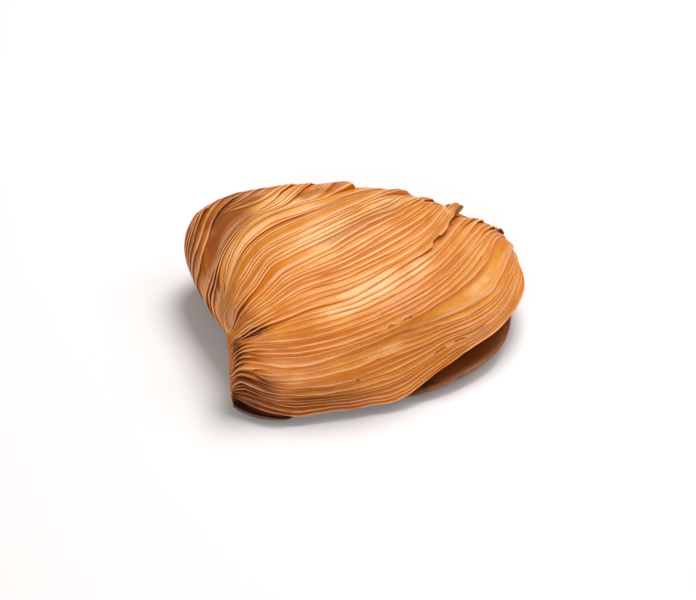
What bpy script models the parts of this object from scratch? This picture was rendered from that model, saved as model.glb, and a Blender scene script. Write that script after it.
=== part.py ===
"""Sfogliatella riccia: a baked shell of thin pastry leaves, drawn together at two corners.

The leaves run like meridians from the near corner to the far corner. A few guide leaves give the
shell its form, and smooth curves through them give every other leaf. Each leaf laps over the one
below it with a raised free edge, and all the free edges face the slit at the front, where the top
of the shell gapes over a single lower leaf, the lip. It is one solid: browning and the finest
leaves are surface looks.

Working frame: x runs from the near corner to the far corner, y across the leaves from the slit to
the back, z up from the table. Lengths are in millimetres until the mesh is made.
"""

import math

import bpy
import numpy as np

MM = 0.001

# The two corners where all the leaves meet.
NEAR_CORNER = (0, 0, 5)
FAR_CORNER = (112, 1, 13)

# Where the five stations of a guide leaf lie along it, as shares of the way between the corners.
STATIONS = (0, 0.13, 0.35, 0.52, 0.69, 0.85, 1)

# Guide leaves: the leaf's number, counted from the slit over the top and round underneath, then
# the points that it passes at the neck, quarter, middle, far and shoulder stations.
GUIDE_LEAVES = (
    # front face, from the free edge over the slit up to the valley at the neck
    (0, (5, -10, 3), (24, -23.5, 2.2), (50, -31.5, 6), (78, -31.5, 11.5), (101, -20, 13.5)),
    (4, (4.5, -6, 7), (24, -20, 6.5), (50, -29, 8.5), (78, -30, 13.5), (102, -16, 15.5)),
    (12, (4.5, -1, 14), (24, -17, 17.5), (50, -24, 21), (78, -23.5, 20), (104, -10, 18)),
    (15, (4.5, 0, 17), (24, -15.5, 21), (50, -23.5, 25), (78, -19, 24), (104, -5, 21)),
    (20, (5, 1.5, 22), (24, -11, 26.5), (50, -18, 30.5), (78, -12, 30), (103, 2, 24)),
    (25, (5, 3, 25), (24, -4.5, 30.5), (50, -9.5, 34.5), (78, -5, 33.5), (101, 10, 26)),
    # crown
    (33, (6, 6, 25.5), (24, 5.5, 33), (50, 3.5, 36.5), (78, 7, 35.5), (98, 16, 27)),
    (40, (7, 9, 25), (23, 14, 33.5), (48, 15, 38), (75, 19, 36.5), (95, 22, 27)),
    (46, (8, 11, 24), (23, 25, 32), (47, 26, 38), (73, 27, 36), (92, 28, 26)),
    (52, (9, 13, 21), (21, 34, 29.5), (45, 38, 37), (71, 37, 34.5), (90, 34, 24)),
    # back and the hump behind the neck
    (58, (10, 15, 17), (20, 45, 26), (42, 51, 34.5), (68, 45, 31.5), (89, 39, 20)),
    (66, (11, 15, 12), (19, 54.5, 19.5), (38, 63, 28), (66, 52, 25), (89, 42, 16)),
    (74, (11.5, 13, 8), (22.5, 56, 11.5), (41, 65, 17.5), (67, 55, 17), (90, 41, 12)),
    (80, (12, 11, 5), (26, 52, 5.5), (45, 61, 7), (69, 52, 7.5), (91, 36, 9)),
    # underside, pressed flat on the table, and the lip
    (86, (12, 8, 3), (28, 44, -0.5), (50, 50, -0.5), (71, 41, -0.3), (93, 27, 6)),
    (92, (11, 4, 2), (27, 24, -0.5), (50, 25, -0.5), (73, 19, -0.5), (95, 11, 6)),
    (98, (9, -1, 1.5), (25, 1, -0.5), (50, -6, -0.5), (76, -4, 0), (97, -3, 7)),
    (104, (7, -5, 1.5), (24, -16, -0.5), (50, -25, 0), (78, -24, 2), (97, -13, 7)),
    (106, (5, -9.5, 2), (24, -22.5, 0.8), (50, -31.5, 2.5), (78, -32, 3.8), (97, -18.5, 7)),
)
INNER_LIP = 98  # the leaf on the underside that the lip runs in towards

# Leaf numbers at which a broad leaf's free edge stands proud of the leaf below it.
FREE_EDGES = (
    0, 2.5, 5, 8, 11, 13, 15.5, 18, 21.5, 25, 27.5, 31, 34.5,
    38, 41.5, 45, 48.5, 52, 55, 58, 61, 64.5, 68, 72, 76, 80,
)
UNDERSIDE_LEAVES = (83, 86, 89, 92, 95, 98, 101, 104, 106)
STEP_HEIGHT = 1.2
STEP_SHARE = 0.5  # a step is no higher than this share of its leaf's width
STEP_PROFILE = ((0, 0), (0.12, 1), (0.6, 0.5))  # way across a leaf, height as a share of the step

# Hollows between leaves: leaf number, its reach in leaves, place along the leaf, its reach, depth.
HOLLOWS = (
    (26.2, 1.3, 0.19, 0.09, 3.0),  # the valley above the neck
    (60.0, 1.6, 0.38, 0.16, 1.8),  # the furrow on the hump
)

# The slit between the free edge of the top and the lip.
SLIT_DEPTH = 13
SLIT_OPENS = (38, 60)  # distances from the near corner between which it grows to full depth
SLIT_CLOSES = (88, 104)
LIP_THICKNESS = 1.0
ROOF_DROP = 0.9

COLUMNS = 50
END_CROWDING = 0.05  # how far the columns draw towards the corners, where the leaves bend most

CRUST_COLOUR = (0.62, 0.27, 0.07, 1)
CRUST_ROUGHNESS = 0.45


def smooth_curve(knots, values, places):
    """A natural cubic spline through values at knots, read at places; values may hold points."""
    knots = np.asarray(knots, float)
    values = np.asarray(values, float)
    gaps = np.diff(knots)
    system = np.eye(len(knots))
    bends = np.zeros_like(values)
    for i in range(1, len(knots) - 1):
        system[i, i - 1 : i + 2] = gaps[i - 1], 2 * (gaps[i - 1] + gaps[i]), gaps[i]
        slope_after = (values[i + 1] - values[i]) / gaps[i]
        slope_before = (values[i] - values[i - 1]) / gaps[i - 1]
        bends[i] = 6 * (slope_after - slope_before)
    bends = np.linalg.solve(system, bends.reshape(len(knots), -1)).reshape(values.shape)

    places = np.asarray(places, float)
    span = np.clip(np.searchsorted(knots, places, side="right") - 1, 0, len(gaps) - 1)
    column = (-1,) + (1,) * (values.ndim - 1)
    gap = gaps[span].reshape(column)
    before = ((knots[span + 1] - places) / gaps[span]).reshape(column)
    after = 1 - before
    straight = before * values[span] + after * values[span + 1]
    bend_before = (before**3 - before) * bends[span]
    bend_after = (after**3 - after) * bends[span + 1]
    return straight + (bend_before + bend_after) * gap**2 / 6


def shell(leaves, ways):
    """Points of the smooth shell: one row for each leaf number, one column for each way along."""
    numbers = [guide[0] for guide in GUIDE_LEAVES]
    stations = [(NEAR_CORNER, *guide[1:], FAR_CORNER) for guide in GUIDE_LEAVES]
    chosen = smooth_curve(numbers, stations, leaves)
    points = smooth_curve(STATIONS, chosen.swapaxes(0, 1), ways).swapaxes(0, 1)
    points[..., 2] = np.maximum(points[..., 2], 0)
    return points


def outward(leaves, ways):
    """Unit vectors square to the shell, pointing out, and the width of one leaf there."""
    leaves = np.asarray(leaves, float)
    nudge = 0.01
    across = (shell(leaves + nudge, ways) - shell(leaves - nudge, ways)) / (2 * nudge)
    inside = np.clip(ways, nudge, 1 - nudge)
    along = shell(leaves, inside + nudge) - shell(leaves, inside - nudge)
    square = np.cross(along, across)
    length = np.linalg.norm(square, axis=2, keepdims=True)
    return square / np.maximum(length, 1e-9), np.linalg.norm(across, axis=2)


def ease(value, start, end):
    """Rises smoothly from 0 at start to 1 at end."""
    share = np.clip((value - start) / (end - start), 0, 1)
    return share * share * (3 - 2 * share)


def swell(value, middle, reach):
    """A smooth hump: 1 at middle, and 0 from reach away on."""
    return 1 - ease(np.abs(value - middle), 0, reach)


def columns():
    """Ways along the leaves, closer together towards both corners."""
    even = np.linspace(0, 1, COLUMNS + 2)[1:-1]
    return even - END_CROWDING * np.sin(2 * math.pi * even)


def stepped_rows():
    """(leaf number, share of the step height, leaf width in leaves) for the lapped leaves."""
    rows = []
    for edge, following in zip(FREE_EDGES, FREE_EDGES[1:]):
        width = following - edge
        rows += [(edge + across * width, height, width) for across, height in STEP_PROFILE]
    return rows + [(FREE_EDGES[-1], 0, 1)]


def top_rows(ways):
    """Rows of points from the free edge at the slit, up over the crown and down the back."""
    leaves, shares, widths = np.array(stepped_rows()).T
    normals, leaf_width = outward(leaves, ways)
    step = np.minimum(STEP_HEIGHT, STEP_SHARE * leaf_width * widths[:, None])
    height = shares[:, None] * step
    for leaf, leaf_reach, way, way_reach, depth in HOLLOWS:
        height -= depth * np.outer(swell(leaves, leaf, leaf_reach), swell(ways, way, way_reach))
    return list(shell(leaves, ways) + height[..., None] * normals)


def slit_rows(edge, rim, ways):
    """Rows that close the loop from the lip's rim into the slit and back out to the free edge."""
    inward = shell([INNER_LIP], ways)[0] - rim
    inward[:, 2] = 0
    inward /= np.linalg.norm(inward, axis=1, keepdims=True)
    gap = np.linalg.norm(edge - rim, axis=1)
    opening = ease(rim[:, 0], *SLIT_OPENS) * (1 - ease(rim[:, 0], *SLIT_CLOSES))
    depth = (0.8 * gap * (1 - opening) + SLIT_DEPTH * opening)[:, None]
    up = np.array((0, 0, 1))
    lip_top = rim + up * np.minimum(LIP_THICKNESS, 0.3 * gap)[:, None]
    roof = edge - up * np.minimum(ROOF_DROP, 0.2 * gap)[:, None] + 0.4 * depth * inward
    return [
        lip_top,
        lip_top + 0.4 * depth * inward,
        (lip_top + roof) / 2 + 0.6 * depth * inward,
        roof,
    ]


def loop_mesh(name, rows):
    """A closed mesh through rows of points, drawn together at the two corners."""
    rows = np.array(rows)
    row_count, column_count = rows.shape[:2]
    points = np.vstack([rows.reshape(-1, 3), [NEAR_CORNER, FAR_CORNER]])
    low, high = points.min(axis=0), points.max(axis=0)
    points -= (*(low + high)[:2] / 2, low[2])  # the origin goes under the middle of the whole

    near, far = len(points) - 2, len(points) - 1
    faces = []
    for row in range(row_count):
        here = row * column_count
        above = (row + 1) % row_count * column_count
        faces.append((near, here, above))
        for column in range(column_count - 1):
            faces.append((here + column, here + column + 1, above + column + 1, above + column))
        faces.append((far, above + column_count - 1, here + column_count - 1))

    mesh = bpy.data.meshes.new(name)
    mesh.from_pydata((points * MM).tolist(), [], faces)
    mesh.validate()
    mesh.shade_smooth()
    mesh.set_sharp_from_angle(angle=math.radians(50))
    return mesh


def crust_material():
    material = bpy.data.materials.new("crust")
    material.use_nodes = True
    shader = material.node_tree.nodes["Principled BSDF"]
    shader.inputs["Base Color"].default_value = CRUST_COLOUR
    shader.inputs["Roughness"].default_value = CRUST_ROUGHNESS
    shader.inputs["Metallic"].default_value = 0
    return material


def build():
    for leftover in list(bpy.data.objects):
        bpy.data.objects.remove(leftover)
    ways = columns()
    top = top_rows(ways)
    underside = list(shell(UNDERSIDE_LEAVES, ways))
    slit = slit_rows(top[0], underside[-1], ways)
    pastry = bpy.data.objects.new("sfogliatella", loop_mesh("sfogliatella", top + underside + slit))
    pastry.data.materials.append(crust_material())
    bpy.context.scene.collection.objects.link(pastry)


build()
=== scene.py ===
# %% [markdown]
# # A sfogliatella, leaf by leaf
#
# A sfogliatella riccia is a shell of paper-thin baked leaves. A roll of dough and lard is sliced,
# and each slice is pushed out into a cone, so the turns of the roll slide past each other like the
# pages of a fanned book. This lesson builds that shell out of about eighty overlapping leaves, each
# with a real free edge and a real pocket under it, and then bakes it with a procedural crust.
#
# The imported model is the frame that everything is set into. It is loaded first, and its box is kept:
# the camera, the lamps and the table are placed by it.

import math

import bpy
import numpy as np
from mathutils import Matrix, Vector


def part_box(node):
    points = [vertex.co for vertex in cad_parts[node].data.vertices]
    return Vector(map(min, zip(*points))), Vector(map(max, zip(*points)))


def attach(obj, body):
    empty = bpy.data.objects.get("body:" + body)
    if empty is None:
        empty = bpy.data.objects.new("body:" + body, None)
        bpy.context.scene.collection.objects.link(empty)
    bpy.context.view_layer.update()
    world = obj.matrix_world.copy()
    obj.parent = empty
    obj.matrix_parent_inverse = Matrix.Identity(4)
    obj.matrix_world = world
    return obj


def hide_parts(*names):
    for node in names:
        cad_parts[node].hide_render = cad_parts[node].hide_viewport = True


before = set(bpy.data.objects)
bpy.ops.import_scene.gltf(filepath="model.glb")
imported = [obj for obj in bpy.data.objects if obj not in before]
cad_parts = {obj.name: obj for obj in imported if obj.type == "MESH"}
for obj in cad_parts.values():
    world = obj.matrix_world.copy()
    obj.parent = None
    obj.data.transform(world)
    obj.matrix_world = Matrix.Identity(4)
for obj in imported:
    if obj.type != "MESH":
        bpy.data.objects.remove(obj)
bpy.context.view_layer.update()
NODE = "sfogliatella"
BOX_LOW, BOX_HIGH = (Vector(corner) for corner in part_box(NODE))
BOX_MIDDLE = (BOX_LOW + BOX_HIGH) / 2
MM = 0.001
print("box of the solid in mm:", [round(v / MM, 1) for v in (*BOX_LOW, *BOX_HIGH)])

# %% [markdown]
# ## The camera
#
# A long lens keeps the pastry's proportions honest, because a short one swells whatever is nearest.
# The camera is placed by the angle that it looks from: so many degrees round, so many above the
# table, so far away.


# %% Camera
CAMERA_ROUND = -36.96  # degrees from straight in front, seen from above
CAMERA_ABOVE = 38.0  # degrees above the table
CAMERA_AWAY = 0.56  # metres
CAMERA_LENS = 90  # millimetres
CAMERA_CLIP = 0.01  # metres
CAMERA_AIM = BOX_MIDDLE + Vector((-3.7, -6.3, -7.9)) * MM


def direction(round_degrees, above_degrees):
    """A unit vector that points from the pastry towards this place around it."""
    turn = math.radians(round_degrees)
    rise = math.radians(above_degrees)
    return Vector((math.sin(turn) * math.cos(rise), -math.cos(turn) * math.cos(rise), math.sin(rise)))


def place(thing, towards, away, aim):
    """Puts a camera or a light at a distance in a direction, turned to look at the aim."""
    thing.location = aim + towards * away
    thing.rotation_euler = towards.to_track_quat("Z", "Y").to_euler()
    bpy.context.scene.collection.objects.link(thing)


camera = bpy.data.objects.new("camera", bpy.data.cameras.new("camera"))
camera.data.lens = CAMERA_LENS
camera.data.clip_start = CAMERA_CLIP
place(camera, direction(CAMERA_ROUND, CAMERA_ABOVE), CAMERA_AWAY, CAMERA_AIM)
bpy.context.scene.camera = camera
print("camera at", [round(v, 3) for v in camera.location])

# %% [markdown]
# ## Table and light
#
# The pastry stands on a plain pale table. A soft lamp high behind it and to its right rakes across
# the leaves, so that each free edge catches light and each pocket stays dark. A weak one at the
# right adds gloss, and a wide low one from the front left opens the shadows. All are area lights,
# because a small lamp would cut hard shadows under every leaf. The standard view transform keeps
# the whites of the table white.

# %% Table, lamps and surroundings
FLOOR_SIZE = 6.0
FLOOR_DROP = 0.0002  # keeps the floor just clear of the faces that rest on it
FLOOR_COLOUR = (0.74, 0.73, 0.73, 1)
FLOOR_ROUGHNESS = 0.9
WORLD_COLOUR = (1, 0.9, 0.84, 1)
WORLD_STRENGTH = 0.24
LAMPS = (
    # name, round, above, away, size, watts
    ("key_lamp", 118, 64, 0.9, 0.5, 8.8),
    ("gloss_lamp", 60, 50, 0.9, 0.5, 1.6),
    ("fill_lamp", -52, 14, 1.0, 0.8, 8.6),
)


def flat_material(name, colour, roughness):
    """A plain material of one colour."""
    material = bpy.data.materials.new(name)
    material.use_nodes = True
    shader = material.node_tree.nodes["Principled BSDF"]
    shader.inputs["Base Color"].default_value = colour
    shader.inputs["Roughness"].default_value = roughness
    return material


def make_floor():
    """A plain square table top, just under the pastry."""
    half = FLOOR_SIZE / 2
    mesh = bpy.data.meshes.new("floor")
    corners = [(-half, -half, 0), (half, -half, 0), (half, half, 0), (-half, half, 0)]
    mesh.from_pydata(corners, [], [(0, 1, 2, 3)])
    mesh.materials.append(flat_material("floor", FLOOR_COLOUR, FLOOR_ROUGHNESS))
    floor = bpy.data.objects.new("floor", mesh)
    floor.location.z = BOX_LOW.z - FLOOR_DROP
    bpy.context.scene.collection.objects.link(floor)


def make_lamps():
    """The area lights, each turned towards the pastry."""
    for name, turn, rise, away, size, watts in LAMPS:
        data = bpy.data.lights.new(name, "AREA")
        data.shape = "DISK"
        data.size = size
        data.energy = watts
        place(bpy.data.objects.new(name, data), direction(turn, rise), away, BOX_MIDDLE)


def make_surroundings():
    """Faint warm light from all round."""
    world = bpy.data.worlds.new("studio")
    world.use_nodes = True
    background = world.node_tree.nodes["Background"]
    background.inputs["Color"].default_value = WORLD_COLOUR
    background.inputs["Strength"].default_value = WORLD_STRENGTH
    bpy.context.scene.world = world
    bpy.context.scene.view_settings.view_transform = "Standard"


make_floor()
make_lamps()
make_surroundings()
print("lamps:", [lamp[0] for lamp in LAMPS])

# %% [markdown]
# ## The shell's form
#
# All the leaves run from the near end, where the turns of the roll show, to the far corner. A
# handful of guide leaves say where the surface goes. Each is named by a leaf number, counted up
# from the slit over the crown and round underneath, and passes six points before the far corner.
# The solid has guide leaves too, but gathers their near ends in one point; here they fan out along
# a short upright spine. A natural cubic spline joins them in both directions. Subdividing a rough
# cage would also give a smooth form, but then no face would know which leaf it belongs to, and the
# leaves are the point.

# %% Guide leaves
FAR_CORNER = (112, 1, 13)
CORNER_TO_MIDDLE = (56, 16.758, 0)  # from the near corner's foot to the middle of the solid's box
STATIONS = (0, 0.13, 0.35, 0.52, 0.69, 0.85, 1)
# Leaf number, then its end at the spine, neck, quarter, middle, far and shoulder points.
GUIDE_LEAVES = (
    (0, (0, 0, 2.6), (5, -10, 3), (24, -23.5, 2.2), (50, -31.5, 6), (78, -31.5, 11.5), (101, -20, 13.5)),
    (4, (0.2, 0.3, 6), (4.5, -6, 7), (24, -20, 6.5), (50, -29, 8.5), (78, -30, 13.5), (102, -16, 15.5)),
    (12, (1.7, 2.4, 13), (4.5, -1, 14), (24, -17, 17.5), (50, -24, 21), (78, -23.5, 20), (104, -10, 18)),
    (15, (2.5, 3, 16), (4.5, 0, 17), (24, -15.5, 21), (50, -23.5, 25), (78, -19, 24), (104, -5, 21)),
    (20, (3.2, 4.5, 21), (5, 1.5, 22), (24, -11, 26.5), (50, -18, 30.5), (78, -12, 30), (103, 2, 24)),
    (25, (3.8, 6, 24), (5, 3, 25), (24, -4.5, 30.5), (50, -9.5, 34.5), (78, -5, 33.5), (101, 10, 26)),
    (33, (4.5, 8, 24), (6, 6, 25.5), (24, 5.5, 33), (50, 3.5, 36.5), (78, 7, 35.5), (98, 16, 27)),
    (40, (5.2, 9.2, 23.5), (7, 9, 25), (23, 14, 33.5), (48, 15, 38), (75, 19, 36.5), (95, 22, 27)),
    (46, (6, 10.2, 22), (8, 11, 24), (23, 25, 32), (47, 26, 38), (73, 27, 36), (92, 28, 26)),
    (52, (6.8, 11, 19.5), (9, 13, 21), (21, 34, 29.5), (45, 38, 37), (71, 37, 34.5), (90, 34, 24)),
    (58, (7.5, 11.8, 16), (10, 15, 17), (20, 45, 26), (42, 51, 34.5), (68, 45, 31.5), (89, 39, 20)),
    (66, (8, 11.5, 12), (11, 15, 12), (19, 54.5, 19.5), (38, 63, 28), (66, 52, 25), (89, 42, 16)),
    (74, (8, 10, 8), (11.5, 13, 8), (22.5, 56, 11.5), (41, 65, 17.5), (67, 55, 17), (90, 41, 12)),
    (80, (7.5, 8.5, 5), (12, 11, 5), (26, 52, 5.5), (45, 61, 7), (69, 52, 7.5), (91, 36, 9)),
    (86, (6.5, 5.5, 3), (12, 8, 3), (28, 44, -0.5), (50, 50, -0.5), (71, 41, -0.3), (93, 27, 6)),
    (92, (4.5, 2, 2), (11, 4, 2), (27, 24, -0.5), (50, 25, -0.5), (73, 19, -0.5), (95, 11, 6)),
    (98, (2.6, 0.6, 1.2), (9, -1, 1.5), (25, 1, -0.5), (50, -6, -0.5), (76, -4, 0), (97, -3, 7)),
    (104, (1.4, -0.6, 1.2), (7, -5, 1.5), (24, -16, -0.5), (50, -25, 0), (78, -24, 2), (97, -13, 7)),
    (106, (0.4, -0.6, 1.8), (5, -9.5, 2), (24, -22.5, 0.8), (50, -31.5, 2.5), (78, -32, 3.8), (97, -18.5, 7)),
)
GUIDE_NUMBERS = [guide[0] for guide in GUIDE_LEAVES]
GUIDE_POINTS = np.array([(*guide[1:], FAR_CORNER) for guide in GUIDE_LEAVES], float)
LEAF_LENGTH = 130.0  # millimetres, roughly, from corner to corner over the crown
COLUMNS = 420
END_CROWDING = 0.035


def columns():
    """Ways along the leaves from 0 to 1, closer together towards both corners."""
    even = np.linspace(0, 1, COLUMNS + 2)[1:-1]
    return even - END_CROWDING * np.sin(2 * math.pi * even)


WAYS = columns()
print(len(GUIDE_LEAVES), "guide leaves and", COLUMNS, "columns")

# %% [markdown]
# A spline is worked out once for the curve along every guide leaf, and then across the guides, at
# each column by itself. That second step lets a leaf's edge wander: the leaf number it is asked
# for may be a different one in every column.


# %% Smooth curves and the envelope
def spline_bends(knots, values):
    """Second derivatives of the natural cubic spline through values at knots."""
    gaps = np.diff(knots)
    system = np.eye(len(knots))
    bends = np.zeros_like(values)
    for i in range(1, len(knots) - 1):
        system[i, i - 1 : i + 2] = gaps[i - 1], 2 * (gaps[i - 1] + gaps[i]), gaps[i]
        bends[i] = 6 * (values[i + 1] - values[i]) / gaps[i]
        bends[i] -= 6 * (values[i] - values[i - 1]) / gaps[i - 1]
    return np.linalg.solve(system, bends.reshape(len(knots), -1)).reshape(values.shape)


def smooth_curve(knots, values, places):
    """The spline read at places: one list of them, or a grid with its own values per column."""
    knots = np.asarray(knots, float)
    values = np.asarray(values, float)
    places = np.asarray(places, float)
    bends = spline_bends(knots, values)
    span = np.clip(np.searchsorted(knots, places, side="right") - 1, 0, len(knots) - 2)
    own = (np.arange(places.shape[1]),) if places.ndim == 2 else ()
    extra = (None,) * (values.ndim - 1 - len(own))
    gap = (knots[span + 1] - knots[span])[(..., *extra)]
    after = ((places - knots[span])[(..., *extra)]) / gap
    before = 1 - after
    straight = before * values[(span, *own)] + after * values[(span + 1, *own)]
    bend_before = (before**3 - before) * bends[(span, *own)]
    bend_after = (after**3 - after) * bends[(span + 1, *own)]
    return straight + (bend_before + bend_after) * gap**2 / 6


def envelope(leaf, ways):
    """Points in millimetres on the smooth shell, for a grid of leaf numbers over the columns."""
    along_guides = smooth_curve(STATIONS, GUIDE_POINTS.swapaxes(0, 1), ways).swapaxes(0, 1)
    points = smooth_curve(GUIDE_NUMBERS, along_guides, leaf)
    points[..., 2] = np.maximum(points[..., 2], 0)
    return points


def outward(leaf):
    """Unit vectors out of the shell, and mm per leaf number and per whole way, at each point."""
    nudge = 0.01
    across = (envelope(leaf + nudge, WAYS) - envelope(leaf - nudge, WAYS)) / (2 * nudge)
    inside = np.clip(WAYS, nudge, 1 - nudge)
    along = (envelope(leaf, inside + nudge) - envelope(leaf, inside - nudge)) / (2 * nudge)
    square = np.cross(along, across)
    length = np.linalg.norm(square, axis=2, keepdims=True)
    square = square / np.maximum(length, 1e-9)
    return square, np.linalg.norm(across, axis=2), np.linalg.norm(along, axis=2)


def ease(value, start, end):
    """Rises smoothly from 0 at start to 1 at end."""
    share = np.clip((value - start) / (end - start), 0, 1)
    return share * share * (3 - 2 * share)


def swell(value, middle, reach):
    """A smooth hump: 1 at middle, and 0 from reach away on."""
    return 1 - ease(np.abs(value - middle), 0, reach)


def plateau(value, middle, reach):
    """A flat-topped hump: 1 over the inner half of its reach, and 0 from reach away on."""
    return 1 - ease(np.abs(value - middle), 0.5 * reach, reach)


CORNER_ROUNDING = np.linspace(-0.012, 0.012, 7)  # ways on both sides that a line's corners spread
SHARP = np.linspace(-0.002, 0.002, 3)  # the same for a line that breaks off


def line(points, rounding=CORNER_ROUNDING, ways=WAYS):
    """A value for each column from a few (way, value) points, with its corners rounded off."""
    return np.interp(ways + rounding[:, None], *zip(*points)).mean(axis=0)


CREST = envelope(np.full((1, COLUMNS), 46.0), WAYS)[0]
print("leaf number 46 climbs to", round(float(CREST[:, 2].max()), 1), "mm")

# %% [markdown]
# ## Chance, but the same chance each time
#
# No two leaves were pulled alike. Each gets its own slow random curve along its length. The seed is
# fixed, so the same pastry comes out of every run.


# %% Random curves
def wander(seed, count, spacing):
    """A smooth random curve between about -1 and 1 for each leaf, with a turn every spacing mm."""
    knots = np.linspace(0, 1, max(4, round(LEAF_LENGTH / spacing)) + 1)
    values = np.random.default_rng(seed).uniform(-1, 1, (len(knots), count))
    return smooth_curve(knots, values, WAYS).T


def waves(seed, leaf, leaf_spacing, way_spacing, count=7):
    """Gentle hills over the whole shell, about -1 to 1, from a few random sine waves."""
    random = np.random.default_rng(seed)
    total = np.zeros(np.broadcast_shapes(leaf.shape, WAYS.shape))
    for _ in range(count):
        across = random.uniform(-1, 1) * 2 * math.pi / leaf_spacing
        along = random.uniform(0.4, 1) * 2 * math.pi * LEAF_LENGTH / way_spacing
        total += np.sin(across * leaf + along * WAYS + random.uniform(0, 2 * math.pi))
    return total / math.sqrt(count)


print("one random curve:", np.round(wander(1, 1, 20)[0, :: COLUMNS // 5], 2).tolist())

# %% [markdown]
# ## Where the leaves lie
#
# Some free edges are landmarks: the rim over the slit, the two bounds of the broad pale leaf on the
# front, the valley that runs up from the neck and ends in a torn edge, the furrow on the hump.
# Each is a line of (way, leaf number). The leaves between two landmarks share the room out
# unevenly, and many are short: they thin to nothing before a corner, as the turns of a cut roll do,
# which is why more edges show on the crown than at the ends.

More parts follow.
